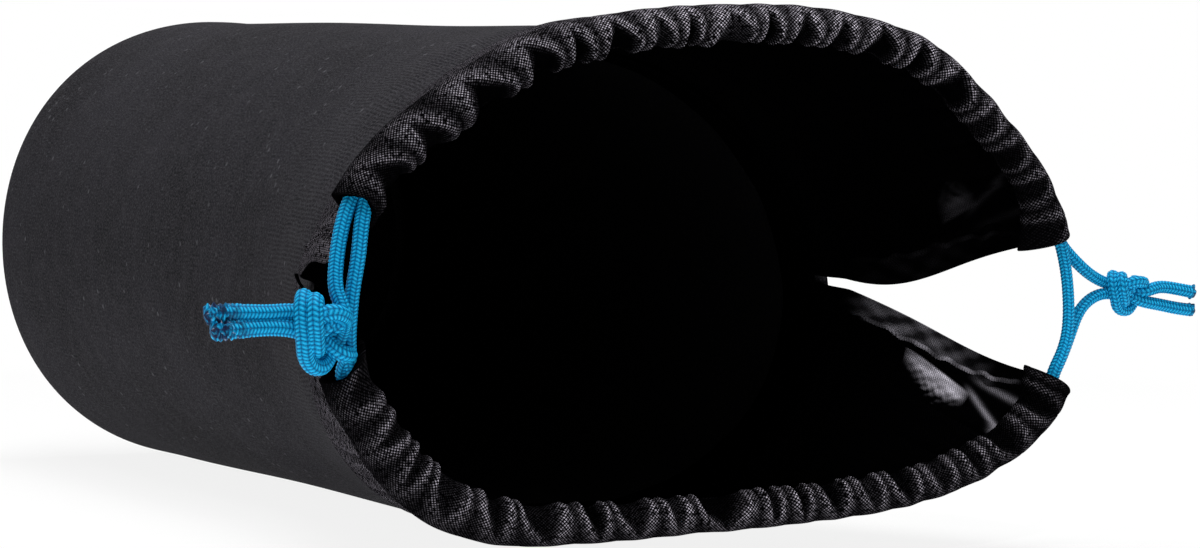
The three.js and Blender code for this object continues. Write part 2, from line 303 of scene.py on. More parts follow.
def neoprene_finish():
    """Foam rubber with a knitted face, by place on the cloth: cloudy wear, scuffs and fine loops, wavy
    wales that show most near the mouth, and a few specks of lint."""
    deep = (0.009, 0.0086, 0.01, 1)
    worn = (0.0172, 0.0166, 0.0202, 1)
    scuffed = (0.042, 0.041, 0.046, 1)
    looped = (0.06, 0.058, 0.065, 1)
    ribbed = (0.062, 0.06, 0.067, 1)
    fluff = (0.16, 0.16, 0.175, 1)
    wale = 0.00105
    f = Finish("neoprene", (0.016, 0.0155, 0.018), 0.9)
    cloth = f.cloth()
    loops = f.noise(cloth, 1500.0, rough=0.7)
    cloud = f.noise(cloth, 22.0, detail=5.0, rough=0.6)
    scuff = f.noise(cloth, 170.0, detail=6.0, rough=0.75)
    tone = f.blend(f.ramp(cloud, 0.3, 0.72), deep, worn)
    tone = f.blend(f.times(f.ramp(scuff, 0.42, 0.75), 0.5), tone, scuffed)
    tone = f.blend(f.times(f.ramp(loops, 0.42, 0.68), 0.7), tone, looped)
    around, along = f.add("ShaderNodeSeparateXYZ", Vector=cloth).outputs[:2]
    wavy = f.maths("ADD", around, f.times(f.noise(cloth, 90.0), 0.0024))
    wales = f.ramp(f.maths("SINE", f.times(wavy, TURN / wale)), -0.6, 0.9)
    clear = f.maths("ADD", f.times(f.ramp(along, 0.06, 0.005), 0.26), 0.06)
    tone = f.blend(f.times(wales, clear), tone, ribbed)
    lint = f.add("ShaderNodeTexVoronoi", {"feature": "F1"}, Vector=cloth, Scale=230.0).outputs["Distance"]
    rare = f.ramp(f.noise(cloth, 70.0), 0.45, 0.6)
    speck = f.times(f.ramp(lint, 0.18, 0.08), rare)
    tone = f.blend(f.times(speck, 0.4), tone, fluff)
    f.set(Base_Color=tone, Specular_IOR_Level=0.03)
    f.bump(f.maths("ADD", loops, f.times(scuff, 0.8)), 0.8, 0.0008)
    return f.material


def woven_finish(name, tint, thread_highlight, highlight_colour):
    """Plain-woven nylon: warp and weft cross in a slanting lattice by place on the cloth. Its threads carry
    a painted highlight, palest on the crest of a fold; painted shade darkens it deep in a crease; a painted
    satin highlight lies where it is marked; and a row of stitches shows where it is sewn."""
    lattice = 0.00088
    stitch = 0.0026
    shade = (0.0004, 0.0004, 0.0005, 1)
    f = Finish(name, tint, 0.8)
    cloth = f.cloth()
    across, along = f.add("ShaderNodeSeparateXYZ", Vector=cloth).outputs[:2]
    warp = f.maths("SINE", f.times(f.maths("ADD", across, along), np.pi / lattice))
    weft = f.maths("SINE", f.times(f.maths("SUBTRACT", across, along), np.pi / lattice))
    threads = f.maths("ABSOLUTE", f.times(warp, weft))
    slub = f.noise(cloth, 1000.0)
    wear = f.noise(cloth, 60.0, detail=3.0)
    share = f.times(f.ramp(threads, 0.3, 0.9), f.ramp(slub, 0.32, 0.62))
    share = f.times(share, f.ramp(wear, 0.05, 0.6))
    share = f.times(share, f.marked("crest"))
    # Painted highlight: the lattice's threads are mixed towards the bright thread_highlight colour as far
    # as the crest mark says.
    tone = f.blend(share, (*tint, 1), (*thread_highlight, 1))
    # Painted shade: the crease mark darkens creases, pockets and the tunnels' bores towards near black.
    tone = f.blend(f.marked("crease"), tone, shade)
    # Painted satin highlight where the cloth is marked, varied by wear noise and the lattice.
    highlight_grain = f.maths("ADD", f.times(f.ramp(wear, 0.2, 0.6), 0.6), f.maths("ADD", f.times(threads, 0.2), 0.3))
    tone = f.blend(f.times(f.marked("painted_highlight"), highlight_grain), tone, (*highlight_colour, 1))
    dash = f.ramp(f.maths("SINE", f.times(across, TURN / stitch)), -0.3, 0.1)
    tone = f.blend(f.times(dash, f.times(f.marked("sewn"), 0.1)), tone, (*thread_highlight, 1))
    f.set(Base_Color=tone, Specular_IOR_Level=0.0)
    f.bump(f.maths("ADD", threads, f.times(slub, 0.5)), 0.6, 0.0004)
    return f.material


def fleece_finish():
    """Short black pile: fine noise over coarse tufts."""
    f = Finish("fleece", (0.004, 0.004, 0.005), 1.0)
    cloth = f.cloth()
    pile = f.noise(cloth, 1100.0, detail=4.0, rough=0.7)
    tufts = f.noise(cloth, 160.0)
    tone = f.blend(f.ramp(pile, 0.35, 0.8), (0.003, 0.003, 0.0035, 1), (0.012, 0.012, 0.013, 1))
    f.set(Base_Color=tone, Specular_IOR_Level=0.02)
    f.bump(f.maths("ADD", pile, f.times(tufts, 0.6)), 0.8, 0.0008)
    return f.material


def braid_finish():
    """Braided polyester: bright cyan yarn, with painted shade between plaits and a painted highlight on
    their tops, and scorched where an end was melted.
    """
    between = (0.0, 0.06, 0.17, 1)
    dyed = (0.001, 0.34, 0.68, 1)
    sheen = (0.03, 0.56, 0.86, 1)
    top = (0.06, 0.66, 0.95, 1)
    charred = (0.008, 0.012, 0.045, 1)
    ash = (0.5, 0.5, 0.62, 1)
    f = Finish("braid", (0.0, 0.4, 0.75), 0.6)
    cloth = f.cloth()
    plait = f.marked("plait")
    scorch = f.marked("scorch")
    yarn = f.noise(cloth, 2600.0, detail=3.0, rough=0.6)
    # Painted shade between the plaits.
    tone = f.blend(f.ramp(plait, 0.0, 0.9), between, dyed)
    tone = f.blend(f.times(f.ramp(yarn, 0.5, 0.85), 0.5), tone, sheen)
    # Painted highlight on the tops of the plaits.
    tone = f.blend(f.times(f.ramp(plait, 0.7, 1.0), 0.45), tone, top)
    patch = f.noise(cloth, 420.0, detail=3.0, rough=0.6)
    tone = f.blend(f.times(scorch, f.ramp(patch, 0.42, 0.58)), tone, charred)
    pale = f.ramp(f.noise(cloth, 1100.0), 0.62, 0.72)
    tone = f.blend(f.times(f.times(scorch, pale), 0.5), tone, ash)
    f.set(Base_Color=tone, Specular_IOR_Level=0.08)
    f.bump(yarn, 0.4, 0.0002)
    return f.material


NEOPRENE = neoprene_finish()
# The woven's thread_highlight colour is a painted highlight on its threads.
WOVEN = woven_finish(
    "woven", tint=(0.0012, 0.0011, 0.0014), thread_highlight=(0.86, 0.8, 0.92), highlight_colour=(0.012, 0.011, 0.014)
)
# Shaded copy of the woven, for the collar's inner face and the tapes inside the tube: painted shade keeps
# it near black, and its highlight_colour is a bright painted satin highlight.
WOVEN_SHADED = woven_finish(
    "woven_shaded_side",
    tint=(0.0004, 0.0004, 0.0005), thread_highlight=(0.005, 0.0045, 0.0055), highlight_colour=(0.88, 0.84, 0.95),
)
FLEECE = fleece_finish()
BRAID = braid_finish()


# Padded tube and what lines it


def flare(y):
    """Share of the mouth's spread left at a place along the tube: the square of the length still left."""
    return np.clip(1 - (y - RIM) / SPREAD_LENGTH, 0, 1) ** 2


def tube_points(radius, angle, y):
    """Circle about the axis, flattened underneath, whose sides stand out near the mouth, more so below."""
    side = radius + flare(y) * (SPREAD - SPREAD * np.sin(angle))
    height = np.maximum(radius * np.sin(angle), np.minimum(FLAT - radius, 0))
    return np.stack([side * np.cos(angle), y + 0 * angle, AXIS + height], axis=-1)


def turned_piece(name, profile, finish, cols=144, swell=None, sink=None, **wraps):
    """Rings about the axis from a profile of (radius, place along Y), shaped as the tube is. swell adds to
    the radius and sink moves a ring along the axis."""
    angle = (np.arange(cols) / cols * TURN)[None, :]
    radius = profile[:, 0, None]
    y = profile[:, 1, None]
    grown = radius + (swell(radius, angle, y) if swell else 0)
    grid = tube_points(grown, angle + 0 * y, y + 0 * angle)
    grid[..., 1] += sink(radius, y) if sink else 0
    run = distance_along(profile)
    along = np.append(run, run[-1] + 1.0)
    mean_radius = 61.0
    around = np.arange(cols + 1) / cols * TURN * mean_radius
    return dress(name, grid, ring_pattern(along, around), finish, wrap_cols=True, **wraps)


def arc(centre, radius, start, stop, count):
    """Points of a round edge in the profile, from one angle to another, in degrees."""
    t = np.radians(np.linspace(start, stop, count))
    return np.stack([centre[0] + radius * np.cos(t), centre[1] + radius * np.sin(t)], axis=1)


def straight(first, last, count):
    """Evenly spaced points between two, without the last."""
    t = np.linspace(0, 1, count, endpoint=False)[:, None]
    return np.asarray(first, float) * (1 - t) + np.asarray(last, float) * t


def tube_shell():
    """Outer wall, base edge, inner wall and rolled rim in one closed profile. The rim rolls in, the base
    end stands out slightly, and the outer face is a little uneven, as squeezed foam is."""
    profile = np.concatenate([
        straight((OUTER, RIM + EDGE), (OUTER, BASE - EDGE), 110),
        arc((OUTER - EDGE, BASE - EDGE), EDGE, 0, 90, 7),
        straight((OUTER - EDGE - 0.5, BASE), (HOLE, BASE), 4),
        straight((HOLE, BASE), (HOLE, BASE - 4.0), 3),
        arc((HOLE, BASE - 9.0), INNER - HOLE, 90, 0, 8),
        straight((INNER, BASE - 10.0), (INNER, RIM + EDGE), 40),
        arc((OUTER - EDGE, RIM + EDGE), EDGE, 180, 352, 10),
    ])

    def swell(radius, angle, y):
        outer = ease(radius, 60.5, 63.0)
        rolled = -2.2 * (1 - ease(y, RIM - 1.0, RIM + 15.0)) * outer
        free = ease(y, RIM + 4, RIM + 30) * ease(-y, -BASE + 6, -BASE + 30)
        soft = 0.35 * ripples(angle * 2, y / 30.0, 5, 6, 0.4, 1.3) * free
        full = 0.8 * ease(y, BASE - 30, BASE - 4) * np.cos(2 * angle - 1.5 * np.pi) ** 2
        return rolled + (soft + full) * outer

    return turned_piece("tube_shell", profile, NEOPRENE, 200, swell, wrap_rows=True)


def base_panel():
    """Round base set into the shell: a shallow dome with a sunk seam near its edge."""
    seam_radius = 50.0
    back = BASE - 4.0
    face = BASE - 0.15
    round_edge = 0.8
    profile = np.concatenate([
        straight((POLE, back), (53.6, back), 16),
        straight((54.2, BASE - 3.4), (54.2, BASE - round_edge), 3),
        arc((53.4, BASE - round_edge), round_edge, 0, 90, 4),
        straight((52.0, face), (POLE, face), 40),
        [(POLE, face)],
    ])

    def seam(radius, y):
        dip = 0.9 * bell(radius, seam_radius, 1.2) + 0.25 * (1 - np.cos(radius / seam_radius * np.pi / 2))
        return -dip * ease(y, BASE - 2.0, BASE - 0.4)

    return turned_piece("base_panel", profile, NEOPRENE, 144, None, seam, ends=True)


def base_cushion():
    """Foam pad under fleece that closes the inner end: a disc with a rounded edge, crowned to the mouth."""
    back = 126.6
    profile = np.concatenate([
        straight((POLE, 114.6), (52.0, 115.6), 36),
        arc((52.0, 117.6), EDGE, -90, 0, 5),
        straight((54.0, 124.0), (51.0, back), 4),
        straight((51.0, back), (POLE, back), 12),
        [(POLE, back)],
    ])
    return turned_piece("base_cushion", profile, FLEECE, 120, ends=True)


def band_profile(outer, inner, start, stop, rows):
    """Closed profile of a flat band: out along one face and back along the other."""
    return np.concatenate([
        straight((outer, start), (outer, stop), rows),
        straight((outer, stop), (inner, stop), 2),
        straight((inner, stop), (inner, start), rows),
        straight((inner, start), (outer, start), 2),
    ])


def tube_lining():
    """Fleece sleeve inside the shell, from the binding to the base, softly creased on its inner face."""
    outer = 59.1
    inner = 58.2

    def crease(radius, angle, y):
        return -0.25 * (1 + ripples(angle * 3, y / 16.0, 9, 6, 0.5, 2.0)) * (radius < 58.7)

    profile = band_profile(outer, inner, RIM + 12.5, 116.0, 44)
    return turned_piece("tube_lining", profile, FLEECE, 144, crease, wrap_rows=True)


def tape_band(name, outer, start, stop, seed):
    """Flat sewn band inside the tube, slightly puckered, with a row of stitching near each edge."""
    thickness = 0.9

    def pucker(radius, angle, y):
        inner = radius < outer - 0.4
        edge = np.minimum(y - start, stop - y)
        stitch = 0.25 * np.cos(angle * 120) * bell(edge, 1.6, 0.5)
        return inner * (0.15 * ripples(angle * 6, y / 5.0, seed) + stitch)

    profile = band_profile(outer, outer - thickness, start, stop, 14)
    # The shaded copy of the woven makes the band near black: painted shade.
    return turned_piece(name, profile, WOVEN_SHADED, 480, pucker, wrap_rows=True)


# Woven collar


class Gathers:
    """Folds along a hem, with seeded widths, heights, slants and depths, read at each share of its length.
    first widens and deepens the first few, and last changes the depth of the last few."""

    def __init__(self, count, seed, first, last):
        rng = np.random.default_rng(seed)
        widths = rng.uniform(0.75, 1.3, count) * np.interp(np.arange(count), [0, 2, 5], [first, first, 1.0])
        self.edges = np.concatenate([[0], np.cumsum(widths)]) / widths.sum()
        self.heights = rng.uniform(0.75, 1.2, count + 1) * np.r_[widths, widths[-1]] ** 0.5
        self.slants = rng.uniform(-1, 1, count + 1)
        stations = [0, 3, 6, count - 6, count - 3]
        deeper = np.interp(np.arange(count + 1), stations, [first, first, 1.0, 1.0, last])
        self.depths = np.minimum(rng.uniform(0.35, 0.85, count + 1) * deeper, 1.0)
        self.count = count

    def number(self, share):
        """Number of the fold at a share, whole in the middle of a pocket."""
        return np.interp(share, self.edges, np.arange(self.count + 1)) - 0.5

    def height(self, share):
        return np.interp(share, self.edges, self.heights)

    def slant(self, share):
        return np.interp(share, self.edges, self.slants)

    def depth(self, number):
        """How deep the pocket nearest to a number is, up to 1."""
        return self.depths[np.clip(np.round(number), 0, self.count).astype(int)]


# For each half of the collar: its hem's line, where its panel starts round the tube, its gathers, and the
# shapes of its tunnel and its panel. A tunnel's worn is the angle round it of its painted highlight, on the
# side that faces up to the light, and pale scales that highlight along the hem; a panel's highlight_patch
# places its painted satin highlight. Shares start at the left slit above and at the right slit below.
HALVES = {
    "upper": dict(
        line=dict(
            rise=62.0, power=2.2, start_z=24.0, end_z=12.0,
            shifts=[
                (0, 0), (0.05, -0.6), (0.12, -2.4), (0.18, -2.4), (0.26, 0), (0.36, 0), (0.48, 0.6),
                (0.6, 1.8), (0.72, 2.0), (0.78, -1.2), (0.84, -3.6), (0.92, -3.6), (1, -3.2),
            ],
        ),
        first_angle=np.pi, gathers=dict(count=19, seed=3, first=1.5, last=1.0),
        tunnel=dict(
            ends=[dict(lip=5.0, cut=3.0, heel=0.0, bulge=0.0), dict(lip=0.0, cut=0.0, heel=2.6, bulge=4.5)],
            girths=[4.6, 5.2, 4.2, 4.0, 4.0, 3.8, 3.4],
            worn=-0.9, pale=[0.5, 0.62, 1.0, 1.3, 1.1, 0.6, 0.28],
        ),
        panel=dict(
            sags=[(-5.93, 3.74, -1.22, 1.82), (-3.6, -1.76, -0.33)],
            bulges=[1.8, 0.0], puff=dict(middle=0.5, long=0.1, size=0.0),
            highlight_patch=dict(side=1.0, centre=0.66, long=0.1, strength=0.03),
        ),
    ),
    "lower": dict(
        line=dict(
            rise=-52.0, power=3.0, start_z=-21.0, end_z=-15.0,
            shifts=[
                (0, -0.8), (0.05, -0.8), (0.12, -1.5), (0.22, -1.2), (0.34, -1.1), (0.46, -0.4),
                (0.56, 0.7), (0.64, 1.7), (0.73, 3.4), (0.8, 2.8), (0.86, 0.2), (0.93, -2.6), (1, -0.8),
            ],
        ),
        first_angle=TURN, gathers=dict(count=19, seed=5, first=1.0, last=0.6),
        tunnel=dict(
            ends=[dict(lip=0.5, cut=0.5, heel=3.0, bulge=2.5), dict(lip=7.0, cut=0.0, heel=0.0, bulge=0.0)],
            girths=[4.0, 4.0, 4.0, 4.0, 4.2, 5.6, 4.8],
            worn=-2.3, pale=[0.14, 0.5, 0.85, 0.85, 0.78, 0.7, 0.62],
        ),
        panel=dict(
            sags=[(-2.08, 0.59, 0.04), (12.96, -0.1, 1.33)],
            bulges=[0.0, 1.8], puff=dict(middle=0.84, long=0.1, size=3.0),
            highlight_patch=dict(side=0.0, centre=0.53, long=0.19, strength=1.0),
        ),
    ),
}


def hem_line(rise, power, start_z, end_z, shifts, share):
    """Half of the hems' flattened loop, clockwise seen from the front: x is a power of the cosine and z a
    power of the sine, moved in or out by smoothed shifts, and read at each share of its length. Gives the
    places, the directions along them and the length."""
    first, last = (np.arcsin(((z - LOOP_Z) / rise) ** (power / 2)) for z in (start_z, end_z))
    turn = np.linspace(np.pi - first, last, 4000)
    across = np.sign(np.cos(turn)) * np.abs(np.cos(turn)) ** (2 / power)
    x = LOOP_X + np.sign(rise) * LOOP_HALF * across
    line = np.stack([x, np.full_like(x, HEM), AXIS + LOOP_Z + rise * np.sin(turn) ** (2 / power)], axis=1)
    s = distance_along(line)
    way = np.gradient(line, s, axis=0)
    moved = np.interp(s / s[-1], *np.array(shifts).T)
    reach = 200
    smooth = np.exp(-np.linspace(-2, 2, 2 * reach + 1) ** 2)
    moved = np.convolve(np.pad(moved, reach, "edge"), smooth / smooth.sum(), "valid")
    line = line + np.cross(way, ALONG_Y) * moved[:, None]
    s = distance_along(line)
    way = np.gradient(line, s, axis=0)
    at = np.asarray(share) * s[-1]
    place = np.stack([np.interp(at, s, line[:, k]) for k in range(3)], axis=-1)
    way = np.stack([np.interp(at, s, way[:, k]) for k in range(3)], axis=-1)
    return place, way / np.linalg.norm(way, axis=-1)[..., None], s[-1]


def folds(number, spread):
    """Depth below the crest: a pocket at each whole number lies between two sharp crest lines, a spread to
    each side of it, and the cloth between pockets falls only a little. Also tells where the pockets are."""
    away = np.abs(number - np.round(number))
    pocket = away < spread
    fall = np.where(pocket, (spread - away) / 0.2, 0.3 * (away - spread) / (0.5 - spread))
    return np.minimum(np.sqrt(fall**2 + 0.004) - 0.0632, 1.0), pocket


def tunnel_sides(angle):
    """Shares of a tunnel's inner side, outer side and front by the angle round it: squared half waves for
    the sides and a hump for the front."""
    inner = (0.5 - 0.5 * np.cos(angle)) ** 2
    outside = (0.5 + 0.5 * np.cos(angle)) ** 2
    front = bell(angle, -2.1, 1.25)
    return inner, outside, front


def near_ends(share, length):
    """Nearness to either end of a tunnel: 1 at the end, dying away over 3.5 mm."""
    fade = 3.5
    return np.exp(-share * length / fade) + np.exp(-(1 - share) * length / fade)


def tunnel_rings(line, share, angle, across, along, ends):
    """Oval rings about the hem's line, of half widths across it and along the pouch. At an end, lip is how
    far the inner side reaches past it, cut and heel how far the front and outer side stay back, and bulge
    how much wider the inner side is."""
    inner, outside, front = tunnel_sides(angle)
    place, way, length = hem_line(**line, share=share[:, 0])
    past = 0
    wider = 0
    for end, away, sign in zip(ends, (share * length, (1 - share) * length), (-1, 1)):
        shift = inner * end["lip"] - front * end["cut"] - outside * end["heel"]
        past = past + sign * shift * np.exp(-away / 6.0)
        wider = wider + inner * end["bulge"] * bell(away, 0.0, 9.0)
    outward = np.cross(way, ALONG_Y)[:, None]
    sideways = outward * ((across + wider) * np.cos(angle))[..., None] + way[:, None] * past[..., None]
    return place[:, None] + sideways + ALONG_Y * (along * np.sin(angle))[..., None]


def tunnel_tones(size, share, angle, fall, pocket, near_end, worn, pale):
    """Painted shade in a tunnel's creases and painted highlight on its crests: shade deep in the pockets on
    its front, and a highlight palest on the crest lines at the worn angle, the side that faces up to the
    light, times the list pale along its length."""
    front = tunnel_sides(angle)[2]
    # Painted shade in the pockets.
    crease = np.where(pocket, 0.97 * ease(fall, 0.06, 0.8), 0.5 * ease(fall, 0.12, 0.3))
    crease = crease * (0.25 + 0.75 * ease(front, 0.1, 0.6)) * (1 - 0.7 * near_end)
    # Painted highlight on the crest lines, brightest on the side that faces up to the light.
    crest = 0.14 + 1.1 * bell(fall, 0.0, 0.12) * np.clip(0.3 + 0.8 * front * size, 0, 1)
    crest = crest * read_along(share, pale)
    crest = crest * (0.22 + 0.78 * bell(angle, worn, 1.0)) * (1 - 0.6 * np.clip(near_end, 0, 1))
    return crease, crest


def tunnel(name, line, gathers, ends, girths, worn, pale):
    """Gathered cord tunnel: an oval tube along the hem, with its half width given by the girths. Pockets
    open from points on its outer side and widen towards the mouth, each leaning its own way. Its bore is
    plain and opens out at both ends."""
    cols = 56
    angle = (np.arange(cols) / cols * TURN - np.pi)[None, :]
    share = np.linspace(0, 1, gathers.count * 48)[:, None]
    length = hem_line(**line, share=share[:, 0])[2]
    front = tunnel_sides(angle)[2]
    spread = 0.33 * ease(np.abs(angle), 0.3, 2.3) * (1 + 0.25 * gathers.slant(share + 0.03))
    number = gathers.number(share) - spread * (0.4 + 0.7 * gathers.slant(share)) + 0.05 * np.sin(angle)
    fall, pocket = folds(number, spread)
    fall = np.where(pocket, fall * gathers.depth(number), fall)
    size = gathers.height(share)
    near_end = near_ends(share, length)
    creased = 0.3 * ripples(share * 110, angle * 1.5, 14, 7, 0.6, 2.0) * front
    high = (1.9 - 3.1 * fall) * front * np.minimum(size, 1.05) + (0.3 - 0.8 * fall) * (1 - front) + creased
    high = high * (1 - 0.6 * near_end) + 0.8 * near_end
    girth = read_along(share, girths)
    outer = tunnel_rings(line, share, angle, girth + high, girth + 2.0 + 1.05 * high, ends)
    back = np.linspace(1, 0, 140)[:, None]
    wide = near_ends(back, length) + 0 * angle
    bore = tunnel_rings(line, back, angle, BORE_ACROSS + wide, BORE_ALONG + wide, ends)
    run = np.r_[share[:, 0] * length, (2 - back[:, 0]) * length, 2.01 * length]
    cloth = ring_pattern(run, np.arange(cols + 1) / cols)
    cloth[..., 0] *= TURN * (1.5 + np.r_[girth[:, 0], BORE_ACROSS + 0 * back[:, 0], girth[0]])[:, None]
    piece = dress(name, np.concatenate([outer, bore]), cloth, WOVEN, wrap_rows=True, wrap_cols=True)
    # Painted shade fills the bore, which gets no highlight.
    crease, crest = tunnel_tones(size, share, angle, fall, pocket, near_end, worn, pale)
    mark(piece, "crease", np.concatenate([crease, np.ones((len(back), cols))]))
    mark(piece, "crest", np.concatenate([crest, np.zeros((len(back), cols))]))
    return piece


def panel_rows():
    """Places along Y from inside the rim to the tunnel, closest together where the panel leaves the rim."""
    inside = np.linspace(RIM + 8.0, RIM, 8, endpoint=False)
    leaving = np.linspace(RIM, RIM - 6.0, 12, endpoint=False)
    free = np.linspace(RIM - 6.0, HEM + TUNNEL_BACK, 64)
    return np.concatenate([inside, leaving, free])[:, None]


def slit_seam(edge, reach, y):
    """Doubled edge along a slit and its seam, which wavers as two sine waves: how wide the doubling is,
    where its ridge runs between two puckered furrows, and how far the cloth stands out."""
    doubled_to = 6.4 - 2.2 * ease(reach, 0.5, 1.0)
    ridge = doubled_to + 0.35 * np.sin(y * TURN / 11.0) + 0.2 * np.sin(y * TURN / 6.3 + 1.0)
    furrows = bell(edge, ridge + 0.7, 0.35) + 0.7 * bell(edge, ridge - 0.7, 0.3)
    pucker = 0.4 * furrows - 0.4 * bell(edge, ridge, 0.35)
    doubled = 0.3 * (1 - ease(edge, doubled_to + 0.2, doubled_to + 1.0))
    return doubled_to, ridge, (doubled - pucker) * ease(reach, 0.02, 0.1)


def panel_highlights(share, reach, y, edge, doubled_to, ridge, side, centre, long, strength):
    """Painted satin highlight beside one slit: a patch along the seam, sharp towards it and feathered away
    from it, highlights along two pleats from the patch to the hem, a mottled painted sheen on the doubled
    edge, and a highlight along the seam's stitching."""
    beside = np.abs(share - side)
    middle = 0.046 + 0.05 * (reach - 0.35)
    along = np.clip(1 - ((reach - centre) / long) ** 2, 0, 1) ** 0.7
    ragged = 0.0045 * ripples(reach * 80, beside * 300, 19, 8, 0.5, 2.0) * along
    sharp = ease(beside, middle - 0.011, middle - 0.006)
    feathered = 1 - ease(beside + ragged, middle - 0.002, middle + 0.014 + 0.016 * along)
    cloudy = np.clip(0.8 + 0.35 * ripples(beside * 260, reach * 22, 17, 6, 0.5, 2.0), 0, 1.2)
    patch = along * sharp * feathered * cloudy
    pleat_highlights = bell(beside, 0.06 + 0.13 * (reach - 0.77), 0.0038) * ease(reach, 0.66, 0.76)
    pleat_highlights = pleat_highlights + 0.6 * bell(beside, 0.036 + 0.03 * (reach - 0.8), 0.0042) * ease(reach, 0.67, 0.82)
    lit = beside < 0.2
    mottled = np.clip(0.1 + 0.1 * ripples(beside * 150, reach * 22, 18, 8, 0.5, 2.4), 0.02, 0.4)
    trim = lit * (edge < doubled_to - 0.5) * (1 - ease(reach, 0.35, 0.8)) * ease(reach, 0.05, 0.2)
    thread_highlight = bell(edge, ridge - 0.7, 0.3) * (0.65 + 0.35 * np.sin(y * TURN / 8.0))
    stitched = lit * thread_highlight * ease(reach, 0.1, 0.3) * (1 - ease(reach, 0.75, 0.95))
    # All of these are painted highlight, kept as the painted_highlight mark.
    return np.clip(strength * (patch + 0.3 * pleat_highlights + trim * mottled + 0.3 * stitched), 0, 1)


def panel(name, line, first_angle, gathers, sags, bulges, puff, highlight_patch):
    """Collar panel: a sheet whose rows go step by step from the tube's ring, inside the rim, to the hem's
    line, level with the shell as soon as it leaves the rim and bulged outwards, with folds that grow
    towards the hem. The sags are a few sine terms for how each slit's edge hangs, the bulges how far each
    stands out, the puff one wide hump, and highlight_patch the painted satin highlight beside a slit."""
    even = np.linspace(0, 1, gathers.count * 30)[None, :]
    share = even - 0.65 * np.sin(TURN * even) / TURN
    y = panel_rows()
    reach = np.clip((RIM - y) / (RIM - HEM - TUNNEL_BACK), 0, 1)
    slit = np.arcsin(SLIT / SEWN)
    angle = first_angle - (slit + (np.pi - 2 * slit) * share)
    root = tube_points(SEWN, angle + 0 * y, np.maximum(y, RIM) + 0 * share)
    target = hem_line(**line, share=share[0])[0][None]
    grid = root * (1 - reach[..., None]) + target * reach[..., None]
    edge = np.minimum(share, 1 - share) * HALF_LENGTH
    calm = ease(edge, 5.0, 18.0)
    leaning = 0.2 * gathers.slant(share) * (1 - reach)
    fall, pocket = folds(gathers.number(share) + leaning, 0.08 + 0.1 * reach)
    drawn = (0.4 - fall) * gathers.height(share) * 2.2 * reach**2.5
    broad = ripples(share * 16, reach * 2.5, 12, 6, 0.6, 2.2) * np.sin(np.pi * reach)
    level = 3.2 * ease(RIM - y, 1.2, 5.0) * (1 - ease(reach, 0.3, 1.0))
    doubled_to, ridge, sewn_lift = slit_seam(edge, reach, y)
    lift = level + 2.0 * np.sin(np.pi * reach) + (drawn + broad) * calm + sewn_lift
    for terms, bulge, away in zip(sags, bulges, (share * HALF_LENGTH, (1 - share) * HALF_LENGTH)):
        hang = sum(size * np.sin((k + 1) * np.pi * reach) for k, size in enumerate(terms))
        grid[..., 2] += hang * bell(away, 0.0, SLIT_FADE)
        lift = lift + bulge * np.sin(np.pi * reach**0.6) * bell(away, 0.0, SLIT_FADE)
    lift = lift + puff["size"] * bell(share, puff["middle"], puff["long"]) * np.sin(np.pi * reach**1.2)
    outward = np.stack([np.cos(angle), 0 * angle, np.sin(angle)], axis=-1)
    grid = grid + outward * lift[..., None]
    grid[..., 1] = y + 0 * share
    flat_width = 215.0
    cloth = np.stack([share * flat_width + 0 * y, -y + 0 * share], axis=2) * MM
    piece = dress(name, grid, cloth, WOVEN, flip=True)
    flat = np.zeros_like(grid[..., 0])
    # Painted highlight on the fold crests and painted shade in the pockets.
    mark(piece, "crest", 0.24 + 0.3 * bell(fall, 0.0, 0.12) * reach**2 + flat)
    mark(piece, "crease", np.where(pocket, 0.8 * ease(fall, 0.1, 0.6), 0) * reach**2 * calm + flat)
    mark(piece, "sewn", bell(y, HEM + 15.0, 0.5) * calm + flat)
    # Painted satin highlight beside a slit.
    mark(piece, "painted_highlight", panel_highlights(share, reach, y, edge, doubled_to, ridge, **highlight_patch))
    # The inner face is the shaded copy of the woven.
    piece.data.materials.append(WOVEN_SHADED)
    thick = piece.modifiers.new("cloth", "SOLIDIFY")
    thick.thickness = 0.8 * MM
    thick.offset = -1.0
    thick.material_offset = 1
    thick.material_offset_rim = 1
    return piece


# Drawcords


KNOT_STRANDS = (
    [
        (0.0, 0.0, 7.6), (3.2, -1.1, 6.7), (5.4, -2.5, 4.4), (7.2, -3.0, 1.4), (8.2, -2.5, -1.9),
        (7.3, -0.2, -4.3), (5.0, 2.4, -4.4), (1.8, 3.8, -4.1), (-1.4, 3.6, -2.8), (-3.8, 1.7, -1.1),
        (-6.6, -0.4, -1.0), (-10.1, -0.8, -0.9),
    ],
    [
        (0.0, 0.0, 4.2), (1.5, -2.6, 3.9), (3.3, -4.1, 1.8), (4.9, -4.9, -0.6), (5.3, -3.9, -3.4),
        (4.0, -1.5, -4.6), (2.1, 0.4, -3.2), (0.5, 1.7, -0.8), (-1.6, 1.0, 1.1), (-4.4, 0.1, 2.1),
        (-7.4, -0.4, 2.5), (-10.5, -0.6, 2.7),
    ],
)


def knot_route(strand, centre, scale, turn, tilt):
    """Route of one of the two strands through an overhand knot: half of it is listed from the knot's middle
    outwards, the other half is the same turned about the upright, and the whole is turned about its length,
    tilted and scaled."""
    half = np.asarray(KNOT_STRANDS[strand])
    whole = np.concatenate([half[::-1] * [-1, -1, 1], half[1:]])
    a = np.radians(turn)
    b = np.radians(tilt)
    about_length = np.array([[1, 0, 0], [0, np.cos(a), -np.sin(a)], [0, np.sin(a), np.cos(a)]])
    about_depth = np.array([[np.cos(b), 0, -np.sin(b)], [0, 1, 0], [np.sin(b), 0, np.cos(b)]])
    return whole @ about_length.T @ about_depth.T * scale + np.asarray(centre)


